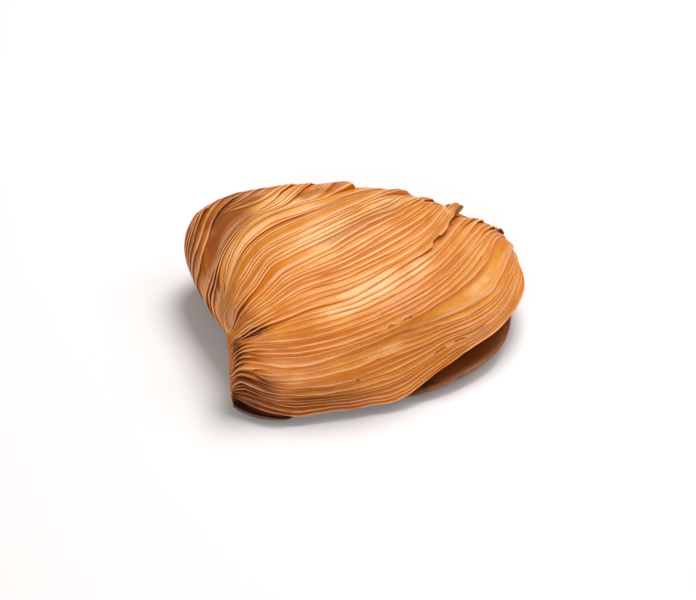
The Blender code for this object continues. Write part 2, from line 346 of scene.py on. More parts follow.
# %% Landmark edges
# Each: how many leaves fill the room up to the next landmark, the ways between which those after
# the first one show, their chance of stopping short of a corner at either end, and the edge's line.
LANDMARKS = (
    # Rim over the slit.
    (6, (0, 1), 0.25, (
        (0, 3), (0.02, 2.8), (0.06, 2.2), (0.11, 1.3), (0.16, 0.7), (0.2, 0.4), (0.25, 0.2), (0.3, 0.8),
        (0.35, 1), (0.37, 0.5), (0.42, 0.2), (0.45, -1.2), (0.49, -0.9), (0.51, 0.4), (0.56, 2.5),
        (0.61, 3.5), (0.65, 3.2), (0.7, 1.1), (0.75, 0.4), (1, 0),
    )),
    # Leaf that starts low on the spine.
    (7, (0, 1), 0.3, (
        (0, 6), (0.035, 7.5), (0.095, 8.2), (0.13, 7.2), (0.17, 5.8), (0.22, 5), (0.3, 5.4), (0.4, 5),
        (0.5, 5.4), (0.6, 7.4), (0.67, 6.6), (0.75, 5), (1, 4.3),
    )),
    # Free edge of the broad pale leaf.
    (1, (0, 1), 0, (
        (0, 11.7), (0.02, 12.4), (0.075, 13.9), (0.13, 15.1), (0.163, 15), (0.2, 14.2), (0.25, 13),
        (0.3, 12.7), (0.42, 13.8), (0.5, 14.2), (0.54, 13.2), (0.6, 12.7), (0.7, 12), (0.74, 11.6),
        (0.82, 12.4), (1, 12.4),
    )),
    # Leaf above the pale one.
    (3, (0, 1), 0, (
        (0, 12.6), (0.03, 13.8), (0.09, 15.6), (0.135, 16.6), (0.168, 16.5), (0.205, 15.8), (0.3, 14.9),
        (0.5, 15.6), (0.6, 16), (0.72, 15.3), (0.76, 15.3), (0.83, 16.4), (1, 15.6),
    )),
    # Broad leaf under the valley.
    (6, (0, 1), 0, (
        (0, 16), (0.037, 16.9), (0.098, 18.2), (0.14, 19.3), (0.175, 19.8), (0.215, 19.5), (0.3, 18.8),
        (0.4, 18.6), (1, 18.4),
    )),
    # Valley edge, which ends in the torn edge.
    (4, (0, 1), 0.1, (
        (0, 18), (0.05, 19.4), (0.1, 22), (0.15, 23.5), (0.193, 24.3), (0.238, 25), (0.35, 24.9),
        (0.385, 24.5), (0.445, 23.8), (0.5, 24.2), (0.55, 24.9), (0.618, 25.5), (0.7, 26.1), (0.78, 25.9),
        (0.86, 25.4), (1, 25.2),
    )),
    # Bright rim of the first fold above the valley.
    (6, (0, 1), 0.3, (
        (0, 22), (0.07, 24.6), (0.1, 26.4), (0.13, 28.6), (0.188, 30.4), (0.235, 29.4), (0.3, 29.3),
        (0.367, 30.4), (0.4, 30.2), (0.43, 29.5), (0.47, 29), (0.6, 29.4), (1, 29),
    )),
    # Red furrow on the crown, lower side.
    (1, (0, 1), 0, (
        (0, 27), (0.07, 30), (0.13, 34.4), (0.2, 36.6), (0.25, 36), (0.305, 35.4), (0.378, 37.4),
        (0.45, 37.2), (0.5, 36.8), (0.55, 37.4), (0.593, 37.5), (0.63, 37.2), (0.67, 36.4), (1, 36),
    )),
    # Red furrow, upper side, which starts as a dark wedge in the fan.
    (6, (0, 1), 0.4, (
        (0, 30), (0.07, 33), (0.133, 37.8), (0.2, 40.2), (0.247, 39.2), (0.305, 38.4), (0.378, 40.4),
        (0.45, 39.8), (0.5, 39.3), (0.55, 39.2), (0.605, 38.9), (0.638, 38.2), (0.67, 37.3), (1, 36.8),
    )),
    # Last leaf that turns under at the neck.
    (5, (0, 0.27), 0, (
        (0, 50), (0.1, 56), (0.14, 57), (0.163, 52), (0.215, 46.6), (0.263, 45.2), (0.318, 44),
        (0.398, 44.8), (0.5, 44), (1, 43.6),
    )),
    # Glossy leaf that turns under below the hump.
    (4, (0, 1), 0.4, (
        (0, 58), (0.12, 71), (0.16, 68.4), (0.175, 63), (0.188, 55), (0.225, 49.5), (0.27, 47),
        (0.32, 45.8), (0.4, 46.4), (0.5, 46), (1, 45.6),
    )),
    # Smooth broad leaf with a pale sheen, lower side.
    (1, (0, 1), 0, (
        (0, 64), (0.12, 73), (0.17, 69), (0.186, 65), (0.2, 57), (0.24, 50.6), (0.28, 48.6), (0.33, 47.8),
        (0.4, 48.6), (0.46, 48.8), (0.53, 47.6), (1, 47.4),
    )),
    # And its upper side.
    (6, (0.74, 1), 0, (
        (0, 68), (0.12, 74.5), (0.18, 70.6), (0.193, 64), (0.212, 55.4), (0.258, 51.4), (0.3, 50),
        (0.357, 50), (0.42, 51), (0.47, 51), (0.51, 50.4), (0.55, 49.9), (0.6, 49.2), (0.7, 49.6),
        (1, 49.8),
    )),
    # Broad pale rim that climbs over the top beside the peak.
    (1, (0, 1), 0, (
        (0, 69.5), (0.12, 75), (0.18, 71.4), (0.193, 65), (0.212, 56.4), (0.258, 52.2), (0.3, 50.8),
        (0.357, 50.7), (0.42, 51.5), (0.47, 51.4), (0.515, 50.8), (0.555, 50.5), (0.593, 50.1),
        (0.615, 50.6), (0.64, 51.6), (0.67, 53.2), (0.69, 54.8), (0.72, 57), (0.76, 60), (1, 62),
    )),
    # First dark slot on the hump.
    (4, (0, 1), 0.3, (
        (0, 72), (0.12, 76), (0.19, 73.5), (0.212, 64.6), (0.23, 58), (0.27, 53.8), (0.312, 52.5),
        (0.355, 52.3), (0.4, 52.1), (0.43, 52.3), (0.458, 52.5), (0.48, 52.1), (0.515, 51.3), (0.53, 51.4),
        (0.545, 51.8), (0.562, 52.3), (0.58, 52.9), (0.605, 54), (0.625, 54.9), (0.655, 56.8), (0.7, 60),
        (0.74, 63), (1, 65),
    )),
    # Second dark slot on the hump.
    (5, (0.46, 1), 0, (
        (0, 74), (0.12, 76.8), (0.22, 74), (0.238, 68.2), (0.247, 62.2), (0.28, 57), (0.33, 54.4),
        (0.372, 54), (0.415, 54.1), (0.473, 53.8), (0.517, 53.8), (0.54, 54.2), (0.56, 55), (0.588, 56),
        (0.61, 57), (0.65, 60), (0.7, 64), (1, 67),
    )),
    # Edge above the hump's dark furrow.
    (2, (0, 1), 0, (
        (0, 76), (0.1, 78), (0.23, 76.5), (0.262, 74), (0.275, 68.4), (0.285, 62), (0.31, 59.2),
        (0.338, 57.9), (0.378, 57.2), (0.417, 57.7), (0.455, 58.4), (0.495, 59.2), (0.54, 60.6),
        (0.6, 63.6), (0.7, 68), (1, 71),
    )),
    # Outermost leaves of the hump.
    (5, (0, 1), 0.2, (
        (0, 78), (0.1, 78.6), (0.25, 77.4), (0.285, 75.5), (0.3, 70.5), (0.315, 65.6), (0.345, 62.2),
        (0.372, 61), (0.42, 61), (0.46, 62), (0.5, 63.4), (0.55, 65.4), (0.65, 69), (0.8, 72), (1, 74),
    )),
    # Leaves low on the back.
    (8, (0, 1), 0.3, (
        (0, 79), (0.2, 78.8), (0.29, 77.4), (0.33, 73), (0.37, 68.5), (0.42, 67), (0.5, 68.4), (0.6, 71.5),
        (0.7, 74), (1, 76.5),
    )),
    # Where the leaves turn under.
    (0, (0, 1), 0, (
        (0, 80), (1, 80),
    )),
)
SHORT_NEAR = (0.1, 0.36)  # ways between which a short leaf begins
SHORT_FAR = (0.62, 0.84)  # ways between which a short leaf ends
FADE = 0.035  # the way over which a leaf thins out
THINNEST = 0.05
PAGED = (3, 20)  # between these leaf numbers every second leaf starts past the neck
PAGES_PART = (0.15, 0.22)
UNEVEN_WIDTH = 0.42


def leaf_edges():
    """Leaf numbers of every free edge in every column, and the first leaf of each landmark."""
    random = np.random.default_rng(5)
    edges = []
    firsts = []
    for (count, (opens, closes), short, start), (*_, end) in zip(LANDMARKS, LANDMARKS[1:]):
        firsts.append(len(edges))
        widths = 1 + UNEVEN_WIDTH * wander(100 + len(edges), count, 22)
        widths = widths + random.uniform(-0.3, 0.3, (count, 1))
        for i in range(1, count):
            near = opens + random.uniform(0, 0.12) if opens else 0
            if random.random() < short:
                near = max(near, random.uniform(*SHORT_NEAR))
            far = min(closes, random.uniform(*SHORT_FAR) if random.random() < short else 1)
            shows = ease(WAYS, near - FADE, near + FADE) if near else np.ones(COLUMNS)
            if far < 1:
                shows = shows * (1 - ease(WAYS, far - FADE, far + FADE))
            if PAGED[0] < start[-1][1] < PAGED[1] and i % 2:
                shows = shows * ease(WAYS, *PAGES_PART)
            widths[i] *= np.maximum(shows, THINNEST)
        shares = np.cumsum(widths, axis=0) / widths.sum(axis=0)
        room = line(end) - line(start)
        edges += list(line(start) + room * np.vstack([np.zeros(COLUMNS), shares[:-1]]))
    firsts.append(len(edges))
    edges.append(line(LANDMARKS[-1][-1]))
    return np.array(edges), firsts


EDGES, FIRSTS = leaf_edges()
EDGES[1:-1] += 0.16 * waves(7, EDGES[1:-1], 40, 26) * swell(EDGES[1:-1], 40, 42)
LEAF_COUNT = len(EDGES) - 1
closest = float(np.diff(EDGES, axis=0).min())
print(LEAF_COUNT, "leaves; closest edges", round(closest, 3), "leaf numbers apart")

# %% [markdown]
# ## How thick, how raised, how deep
#
# A leaf is about 0.3 mm thick once baked, and its free edge stands a little higher than that above
# the leaf below. Where leaves crowd together everything shrinks with them, so that no leaf ever pokes
# through its neighbour. At the neck it is the other way round: there the pages have sprung apart.

# %% Leaf sizes in millimetres
THICKNESS = 0.3
LIFT = 0.06
POCKET = 0.45
TOO_NARROW = (0.08, 0.35)  # widths between which a squeezed leaf comes to show
RIM_WIDTHS = (0.2, 1.1)  # widths between which a leaf comes to have a pale rim
GAP_SHARE = 0.22  # a gap is at most this share of the room between its neighbours
PAGE_GAP = (1.1, 0.5)  # a sprung page's gap in millimetres, and its largest share of the room
THICK_SHARE = 0.25  # and a leaf's thickness at most this share
POCKET_SHARE = 0.6  # a pocket is at most this share of the leaf's width
# The foot of each leaf, next to the edge above it, is painted darker, as the shade that edge casts.
FOOT_SHADE = 0.45  # how dark the foot of a leaf is, next to the edge above it
PAGES = (0.105, 0.12, 13, 11)  # the sprung pages at the neck: way, reach, leaf number, reach
SHADED = (
    # leaf number, reach, way, reach, how many times darker the painted shade at each leaf's foot is
    (3, 8, 0.4, 0.45, 2.0),
    (54, 6, 0.28, 0.2, 2.2),
    (63, 7, 0.35, 0.4, 2.0),
    (36, 16, 0.17, 0.14, 2.2),
    (12, 12, 0.12, 0.12, 2.0),
    (14, 4, 0.45, 0.12, 1.4),
)
SMOOTH = (
    # the same, for how much of the step is left
    (22.2, 2.7, 0.13, 0.26, 0.0),
    (12.6, 3, 0.46, 0.16, 0.75),
)
CALM = (
    # the same, for how much of the lift is left; the thickness shrinks less
    (33.5, 3.5, 0.33, 0.1, 0.45),
    (45, 5, 0.38, 0.14, 0.6),
    (38, 17, 0.46, 0.4, 0.4),
)
LIVELY = (
    # the same, for how many times higher the lift is
    (24, 8, 0.74, 0.12, 1.5),
    (6, 5, 0.6, 0.14, 4),
    (56, 7, 0.28, 0.16, 4),
    (63, 8, 0.35, 0.4, 3.5),
    (2, 9, 0.4, 0.4, 5),
    (34, 12, 0.17, 0.12, 3.5),
    (24, 7, 0.88, 0.1, 2),
)
DEEP = (
    # the same, for how many times deeper the pockets are
    (42, 18, 0.52, 0.34, 0.5),
    (14, 14, 0.12, 0.14, 2.2),
    (55, 7, 0.32, 0.24, 2.2),
    (2, 9, 0.38, 0.4, 2.2),
    (36, 14, 0.17, 0.12, 1.8),
)


def patchwork(leaf, patches, shape=swell):
    """1 everywhere except in the patches, where it blends to each one's value."""
    value = np.ones_like(leaf)
    for number, reach, way, way_reach, level in patches:
        value *= 1 + (level - 1) * shape(leaf, number, reach) * shape(WAYS, way, way_reach)
    return value


def leaf_sizes():
    """Sizes of every leaf in every column, measured square to its edge where the edge slants."""
    edge = EDGES[:-1]
    _, per_number, per_way = outward(edge)
    slant = np.gradient(edge, WAYS, axis=1) * per_number / per_way
    millimetres = per_number / np.sqrt(1 + slant**2)
    numbers = np.diff(EDGES, axis=0)
    width = numbers * millimetres
    room = np.minimum(width, np.vstack([width[:1], width[:-1]]))
    uneven = np.clip(1 + 0.6 * wander(31, LEAF_COUNT, 11), 0.25, 2)
    pages = swell(WAYS + 0.02 * wander(35, LEAF_COUNT, 50), *PAGES[:2]) * plateau(edge, *PAGES[2:])
    lift = LIFT * uneven * patchwork(edge, CALM + LIVELY)
    shown = patchwork(edge, SMOOTH, plateau)
    shown[FIRSTS[:-1]] = 1
    shown = shown * ease(width, *TOO_NARROW)
    pages = pages * shown
    page_gap = np.minimum(PAGE_GAP[0], PAGE_GAP[1] * room)
    gap = np.minimum(lift, GAP_SHARE * room) * (1 - pages) + page_gap * pages
    thickness = THICKNESS * np.sqrt(patchwork(edge, CALM)) * (1 + 0.2 * wander(32, LEAF_COUNT, 20))
    thickness = np.minimum(thickness, THICK_SHARE * room)
    pocket = POCKET * patchwork(edge, DEEP) * (1 + 0.3 * wander(33, LEAF_COUNT, 15)) + pages
    pocket = np.minimum(pocket, POCKET_SHARE * width)
    pocket = pocket * np.maximum(shown, 0.1)
    return numbers, millimetres, width, gap * shown, thickness * shown, pocket, pages, shown


SHADE = FOOT_SHADE * patchwork(EDGES[:-1], SHADED)
NUMBERS, MILLIMETRES, WIDTH, GAP, THICK, POCKETS, SPRUNG, SHOWN = leaf_sizes()
RIMMED = SHOWN * ease(WIDTH, *RIM_WIDTHS)
print("leaves are", round(float(np.median(WIDTH)), 2), "mm wide at the middle of the range")

# %% [markdown]
# ## Bundles, valleys and torn edges
#
# Leaves also move in bundles. A whole stack may ride up over the next one, which gives the steps in
# the outline, or sink away beside it, which gives the dark valley above the neck. The first
# bundle breaks off short of the far corner, and the leaves under its broken end are drawn back.

# %% Bundles and dips
BUNDLES = (
    # leaf number and way that pick the lowest leaf, reach in leaf numbers, (way, height) in mm, and
    # how the shape slips along from leaf to leaf: ways per leaf number, and where it slips furthest
    (
        26.1, 0.7, 14,
        (
            (0.56, 0), (0.61, 0.3), (0.66, 0.6), (0.72, 0.8), (0.753, 1.1), (0.766, 1.8), (0.772, -3.2),
            (0.85, -2.6), (0.93, -1), (1, 0),
        ),
        0.045, 2.3,
    ),
    (42, 0.8, 7, ((0.66, 0), (0.74, 0.4), (0.8, 1.2), (0.815, 0.2), (0.86, -0.4), (0.94, 0))),
    (36, 0.82, 5, ((0.7, 0), (0.77, 0.3), (0.82, 0.9), (0.83, 0.1), (0.94, 0))),
    (
        49.5, 0.66, 12,
        ((0.5, 0), (0.6, -0.3), (0.65, 0.6), (0.68, 1.6), (0.69, 1.4), (0.7, -0.8), (0.8, -0.8), (0.9, 0)),
        0.0055, 12,
    ),
    (51.6, 0.54, 6, ((0.5, 0), (0.545, 0.4), (0.6, 0.6), (0.64, 0.5), (0.66, 0))),
    (51.6, 0.64, 6, ((0.58, 0), (0.62, 0.5), (0.66, 0.6), (0.7, 0))),
    (54.5, 0.55, 5, ((0.5, 0), (0.56, 0.4), (0.6, 0.5), (0.62, 0))),
    (58.6, 0.46, 5, ((0.4, 0), (0.45, 0.6), (0.5, 0.7), (0.52, 0))),
    (62, 0.46, 5, ((0.38, 0), (0.43, 0.6), (0.46, 0.8), (0.465, 0))),
    (23, 0.83, 2.5, ((0.76, 0), (0.835, 0.8), (0.845, 0), (0.96, 0))),
    (21, 0.86, 2.5, ((0.78, 0), (0.865, 0.8), (0.875, 0), (0.97, 0))),
    (19, 0.88, 2.5, ((0.8, 0), (0.885, 0.8), (0.895, 0), (0.98, 0))),
    (14, 0.91, 6, ((0.86, 0), (0.9, 0.5), (0.93, 0.5), (0.94, 0), (0.98, 0))),
    (20, 0.93, 3, ((0.9, 0), (0.925, 1.7), (0.95, 1.7), (0.955, 0))),
    (24.1, 0.18, 4, ((0.07, 0), (0.11, 1.2), (0.15, 2.2), (0.2, 2.1), (0.25, 0.9), (0.32, 0))),
    (48, 0.4, 4, ((0.26, 0), (0.34, 0.5), (0.5, 0.5), (0.58, 0))),
    (54, 0.35, 4, ((0.2, 0), (0.26, -0.9), (0.33, -1.4), (0.43, -1.3), (0.49, -0.6), (0.56, 0))),
    (57.4, 0.38, 8, ((0.24, 0), (0.3, 0.5), (0.42, 0.6), (0.5, 0))),
    (5.5, 0.62, 1.3, ((0.57, 0), (0.59, 0.7), (0.62, 0.8), (0.635, 0))),
    (3.2, 0.6, 1.2, ((0.55, 0), (0.57, 0.5), (0.6, 0.8), (0.61, 0))),
    (7.5, 0.67, 1.2, ((0.63, 0), (0.65, 0.6), (0.68, 0.7), (0.69, 0))),
    (5.5, 0.3, 1.4, ((0.25, 0), (0.28, 0.9), (0.33, 0.9), (0.36, 0))),
    (3, 0.29, 1.4, ((0.24, 0), (0.27, 0.9), (0.32, 1.1), (0.35, 0))),
    (1, 0.2, 1.4, ((0.12, 0), (0.16, 0.8), (0.21, 1.2), (0.24, 0))),
    (2.8, 0.05, 6, ((0, 0), (0.03, 0.4), (0.08, 0.7), (0.14, 0.6), (0.2, 0))),
)
DIPS = (
    # leaf number and way that pick the leaf above, reach in leaf numbers below it, (way, depth) in mm
    (24.1, 0.18, 2.6, ((0.05, 0), (0.1, 1), (0.14, 1.8), (0.2, 2), (0.25, 1), (0.36, 0.2), (0.5, 0))),
    (26.2, 0.2, 2, ((0.06, 0), (0.12, 1.0), (0.18, 1.2), (0.24, 0.5), (0.3, 0))),
    (25.9, 0.7, 4, ((0.6, 0), (0.66, 0.4), (0.76, 1), (0.79, 2.2), (0.83, 2.2), (0.88, 1.2), (0.95, 0))),
    (54.1, 0.4, 1.6, ((0.16, 0), (0.22, 0.8), (0.34, 1.1), (0.42, 0.4), (0.5, 0))),
    (52.8, 0.4, 1.2, ((0.16, 0), (0.2, 0.8), (0.3, 0.9), (0.38, 0.4), (0.46, 0))),
    (51.2, 0.4, 1.2, ((0.14, 0), (0.18, 0.8), (0.26, 0.8), (0.34, 0.3), (0.42, 0))),
    (40.2, 0.4, 2.4, ((0.1, 0), (0.16, 1.0), (0.24, 1.0), (0.32, 0.4), (0.4, 0))),
    (13.6, 0.46, 1.4, ((0.34, 0), (0.42, 0.5), (0.52, 0.5), (0.6, 0))),
    (42, 0.8, 9, ((0.66, 0), (0.74, 0.5), (0.84, 0.8), (0.94, 0))),
)


def leaf_at(number, way):
    """The leaf whose free edge passes nearest to this leaf number at this way."""
    column = np.abs(WAYS - way).argmin()
    return int(np.abs(EDGES[:-1, column] - number).argmin())


def slipped(above, slant=0, furthest=0):
    """The ways at which a bundle's shape is read: it slips along from leaf to leaf, and back."""
    return WAYS - slant * np.clip(furthest - np.abs(above - furthest), 0, furthest)


# The broken end of the raised flap: as a bundle, with how far back in mm instead of how high.
UNDERCUT = (26.1, 0.7, 14, ((0.7, 0), (0.768, 0), (0.774, 4.5), (0.8, 3.2), (0.87, 0)), 0.045, 2.3)


def undercut(owner, leaf):
    """How far, in mm, the surface is drawn back under the broken end of the raised flap."""
    number, way, reach, backs, slant, furthest = UNDERCUT
    lowest = leaf_at(number, way)
    if owner < lowest:
        return 0 * leaf
    above = leaf - EDGES[lowest]
    return line(backs, SHARP, slipped(above, slant, furthest)) * (1 - ease(above, 0.3 * reach, 0.6 * reach))


def relief(owner, leaf):
    """Extra height in millimetres at leaf numbers that belong to the leaf called owner."""
    height = 0.3 * waves(11, leaf, 30, 40)
    for number, way, reach, heights, *slip in BUNDLES:
        lowest = leaf_at(number, way)
        if owner >= lowest:
            above = leaf - EDGES[lowest]
            height += line(heights, SHARP, slipped(above, *slip)) * (1 - ease(above, 0, reach))
    for number, way, reach, depths in DIPS:
        above = leaf_at(number, way)
        if owner < above:
            height -= line(depths) * ease(leaf, EDGES[above] - reach, EDGES[above])
    return height


print(len(BUNDLES), "bundles and", len(DIPS), "dips")

# %% [markdown]
# Edges tear as they bake. Most have only fine nicks, and the raised one on the right is torn in
# steps. A tear moves the free edge and leaves the body of the leaf where it is.


# %% Torn edges
TORN = (
    # leaf number and way that pick the leaf, (way, shift in leaf numbers)
    (
        25.9, 0.7,
        (
            (0.6, 0), (0.63, -0.3), (0.655, -0.5), (0.662, 0.3), (0.685, 0.35), (0.692, -0.3),
            (0.725, -0.2), (0.74, 0.3), (0.77, 0.1), (0.8, 0),
        ),
    ),
    (
        16.6, 0.5,
        (
            (0.455, 0), (0.462, -0.5), (0.476, -0.5), (0.478, 0.3), (0.49, 0.3), (0.492, -0.4),
            (0.507, -0.4), (0.509, 0.2), (0.525, 0.2), (0.527, -0.3), (0.54, -0.2), (0.545, 0),
        ),
    ),
    (
        7.4, 0.61,
        (
            (0.56, 0), (0.565, 0.5), (0.585, 0.4), (0.59, -0.4), (0.605, -0.3), (0.61, 0.5),
            (0.63, 0.4), (0.635, -0.3), (0.66, -0.2), (0.67, 0),
        ),
    ),
)


def tears():
    """How far each free edge is shifted, in leaf numbers, in each column."""
    rough = 0.05 * wander(41, LEAF_COUNT, 3) + 0.07 * wander(42, LEAF_COUNT, 7)
    nicks = 0.25 * np.maximum(wander(43, LEAF_COUNT, 2.2) - 0.75, 0)
    shift = (rough + nicks) * np.minimum(NUMBERS, 1.6)
    for number, way, shifts in TORN:
        shift[leaf_at(number, way)] += line(shifts, SHARP)
    return shift


TEARS = tears()
print("furthest tear:", round(float(np.abs(TEARS).max()), 2), "leaf numbers")

# %% [markdown]
# ## One leaf's profile
#
# Cut across, a leaf starts deep in the pocket under itself, comes out along its own underside to
# the free edge, turns over the edge and then sinks away until the next leaf covers it. Nine rows of
# points are enough. Every row also notes what the crust needs later: how close it is to a free rim
# (rims bake pale, and carry a painted highlight) and how much painted shade it gets (the shade in
# the pockets and at the foot of each leaf is painted in dark orange and red).


# %% Rows of one leaf
# Across a leaf from its free edge: share of the width, share of the step, pale rim with a painted
# highlight, painted shade.
LEAF_PROFILE = ((0.32, 0.84, 0.45, 0), (0.5, 0.45, 0, 0), (0.7, 0.17, 0, 0.15), (0.9, 0.02, 0, 0.7))
BEVEL = 0.5  # millimetres over which a free edge thins to a feather
PAGE_SINK = 1.8  # millimetres that a sprung page sinks away under the next one
DEEP_GAP_SHADE = (
    # painted shade in gaps too deep for light: leaf number, reach, way, reach, how dark
    (22.9, 1.4, 0.14, 0.05, 1.0),
    (23.7, 1.4, 0.19, 0.05, 1.0),
    (24.8, 1.2, 0.225, 0.04, 0.9),
    (39.2, 1.4, 0.21, 0.1, 0.6),
    (53.4, 1.2, 0.27, 0.07, 0.7),
    (50.6, 1.0, 0.24, 0.05, 0.6),
    (35.2, 1.0, 0.18, 0.06, 0.5),
    (26.4, 1.2, 0.16, 0.06, 0.8),
    (58.6, 1.4, 0.38, 0.16, 0.5),
)
# how dark the painted shade in a pocket is at least; up to twice that where the leaves gape
POCKET_SHADE = 0.3


def blobs(leaf, patches, shape=swell):
    """The strongest of the patches at each place."""
    value = np.zeros(np.broadcast_shapes(leaf.shape, WAYS.shape))
    for number, reach, way, way_reach, level in patches:
        value = np.maximum(value, level * shape(leaf, number, reach) * shape(WAYS, way, way_reach))
    return value


def pocket_shade(k):
    """The painted shade in the pocket under leaf k: darkest where the leaves have sprung apart or gape."""
    gape = np.clip(GAP[k] / (3 * LIFT), 0, 1)
    return SHOWN[k] * np.maximum(POCKET_SHADE * (1 + gape), np.maximum(SPRUNG[k], blobs(EDGES[k], DEEP_GAP_SHADE)))


def leaf_rows(k):
    """(leaf numbers, height in mm, rim, tuck) for each row of leaf k, from its pocket upwards."""
    edge = EDGES[k]
    torn = edge + TEARS[k]
    step = GAP[k] + THICK[k]
    number_per_mm = 1 / np.maximum(MILLIMETRES[k], 1e-3)
    width = NUMBERS[k]
    blunt = np.minimum(0.14, 0.1 * WIDTH[k]) * number_per_mm
    bevel = np.minimum(BEVEL, 0.25 * WIDTH[k]) * number_per_mm
    pocket = edge + POCKETS[k] * number_per_mm
    sunk = PAGE_SINK * SPRUNG[k]
    inside = pocket_shade(k)
    pale_and_sheen = RIMMED[k]
    foot = relief(k - 1, pocket) - 0.05 * SHOWN[k] - sunk
    rows = [
        (edge + 0.9 * POCKETS[k] * number_per_mm, foot, 0.0, inside),
        (torn + blunt, relief(k, edge) + GAP[k], 0.0, 0.6 * inside),
        (torn, relief(k, edge) + GAP[k] + 0.2 * THICK[k], 0.7 * pale_and_sheen, 0.0),
        (torn + bevel, relief(k, edge) + step, pale_and_sheen, 0.0),
    ]
    for share, height, rim, painted_shade in LEAF_PROFILE:
        place_on = edge + share * width + TEARS[k] * max(0, 0.6 - share)
        below = sunk * ease(share, 0.3, 0.95)
        # Painted shade at the foot of the leaf, next to the edge above it, and in the slots of sprung pages.
        dark = np.maximum(painted_shade * SHADE[k], SPRUNG[k] * ease(share, 0.3, 0.65))
        dark = np.maximum(dark, blobs(place_on, DEEP_GAP_SHADE, plateau))
        rows.append((place_on, relief(k, place_on) + height * step - below, rim * pale_and_sheen, dark))
    if k + 1 < LEAF_COUNT:
        next_pocket = EDGES[k + 1] + POCKETS[k + 1] / np.maximum(MILLIMETRES[k + 1], 1e-3)
        below = 0.12 * SHOWN[k + 1] + PAGE_SINK * SPRUNG[k + 1]
        rows.append((next_pocket, relief(k, next_pocket) - below, 0.0, pocket_shade(k + 1)))
    return rows


print("rows in one leaf:", len(leaf_rows(0)))

# %% [markdown]
# ## From rows to a mesh
#
# A piece is a run of leaves. Its rows are stitched into a sheet, and a few plain rows a little way
# inside close the sheet into a solid wall, so no piece is a bare skin. All rows meet at the far
# corner, and close in the coiled end at the near one.

# %% Mesh builder
WALL = 3.0  # millimetres from the leaves to the inner face of a piece
INNER_ROWS = 6
ENDS_CLOSE = 0.03  # way over which the walls close up to the middle at both ends
AVERAGE_STEP = 0.3  # how far the leaves stand proud of the envelope, taken back off the whole
ALL_ROUND = 104  # leaf numbers once round the roll
SHARP_ANGLE = math.radians(62)  # folds sharper than this are shaded as edges
# The middle line of the roll, as the average of the envelope all the way round.
CORE = envelope(np.linspace(0, ALL_ROUND, 30)[:, None] + 0 * WAYS, WAYS).mean(axis=0)


def grid_points(leaf, height):
    """Points at these leaf numbers, raised off the envelope by these heights in millimetres."""
    normals = outward(leaf)[0]
    points = envelope(leaf, WAYS) + (height - AVERAGE_STEP)[..., None] * normals
    points[..., 2] = np.maximum(points[..., 2], 0)
    return points


def inner_rows(first, last):
    """Rows inside the wall that lead back from leaf number last to leaf number first."""
    leaf = np.linspace(last, first, INNER_ROWS)[:, None] + 0 * WAYS
    surface = envelope(leaf, WAYS)
    inward = CORE - surface
    far = np.linalg.norm(inward, axis=2, keepdims=True)
    share = np.minimum(WALL / np.maximum(far, 1e-6), 0.3)
    closing = 1 - ease(WAYS, 0, ENDS_CLOSE) * (1 - ease(WAYS, 1 - ENDS_CLOSE, 1))
    return list(surface + inward * np.maximum(share, closing[:, None]))


def in_metres(points):
    """Points counted from the near corner, moved to the middle of the solid and into metres."""
    return (points - np.array(CORNER_TO_MIDDLE)) * MM


print("the middle line is", round(float(np.linalg.norm(CORE[-1] - CORE[0])), 1), "mm from end to end")

# %% [markdown]
# ## The coiled end
#
# At the near end the roll shows its turns edge on. They could be drawn as one long spiral ribbon,
# but then it would have to be joined to every leaf. Instead each row of a leaf is carried on
# towards the middle of the end, up and down over the turns. The turns drift inwards as they go
# round, which makes rings read as a coil.

# %% The coiled end
COILS = 5  # turns of dough that show at the near end of the roll
# The last two columns are the pale rim with its painted highlight, and the painted shade in the pockets
# between the turns.
COIL = (  # (how far across the turn, height, rim, tuck), from the pocket outwards
    (0.0, 0.0, 0.0, 0.9),
    (0.15, 0.8, 0.4, 0.3),
    (0.35, 1.0, 0.7, 0.0),
    (0.8, 0.5, 0.0, 0.1),
)
COIL_STEP = 0.5  # millimetres that a turn stands proud
COIL_DRIFT = 0.8  # turns that the outermost one draws in, once round
COIL_WOBBLE = 0.06  # share by which the turns bulge in and out as they go round
COIL_TOAST = 0.55  # how far the end is baked
COIL_GRAIN = (60, 9)  # millimetres of streaks round the end, and across it
CALM_MIDDLE = 3  # a row that starts within this many millimetres of the middle has flatter turns
END_BULGE = 0.7  # millimetres that the middle of the end stands out
# Which way the near end faces: on along the middle line.
OUT_OF_THE_END = (CORE[0] - CORE[12]) / np.linalg.norm(CORE[0] - CORE[12])


def rolled_end(rows, looks, turn):
    """The rows and looks, with the coiled end of the roll put before their first column."""
    start = rows[:, 0]
    spokes = start - CORE[0]
    calm = np.minimum(1, np.linalg.norm(spokes, axis=1) / CALM_MIDDLE)
    wobble = 1 + COIL_WOBBLE * np.sin(2 * math.pi * (3 * turn + 0.2)) * calm
    points = []
    added = {key: [] for key in looks}
    for coil in range(COILS):
        for across, high, rim, painted_shade in COIL:
            share = (coil + across) / COILS * (1 - COIL_DRIFT * turn / COILS) * wobble
            out = (COIL_STEP * high + END_BULGE * (1 - share**2)) * calm
            points.append(CORE[0] + spokes * share[:, None] + out[:, None] * OUT_OF_THE_END)
            grain = [COIL_GRAIN[0] * turn, 0 * turn + COIL_GRAIN[1] * share, 0 * turn + coil]
            look = {"rim": rim, "painted_shade": painted_shade, "toast": COIL_TOAST, "pale_and_sheen": 0, "tone": math.sin(5 * coil)}
            for key in looks:
                added[key].append(np.stack(grain, axis=-1) if key == "grain" else look[key] + 0 * turn)
    rows = np.concatenate([np.stack(points, axis=1), rows], axis=1)
    looks = {key: np.concatenate([np.stack(added[key], axis=1), looks[key]], axis=1) for key in looks}
    return rows, looks


print(COILS, "turns of dough at the near end")

# %% [markdown]
# The sheet is closed by joining its last row to its first, and by a fan of faces at each end.
# What the crust needs to know is stored with the points, so the material can read it.


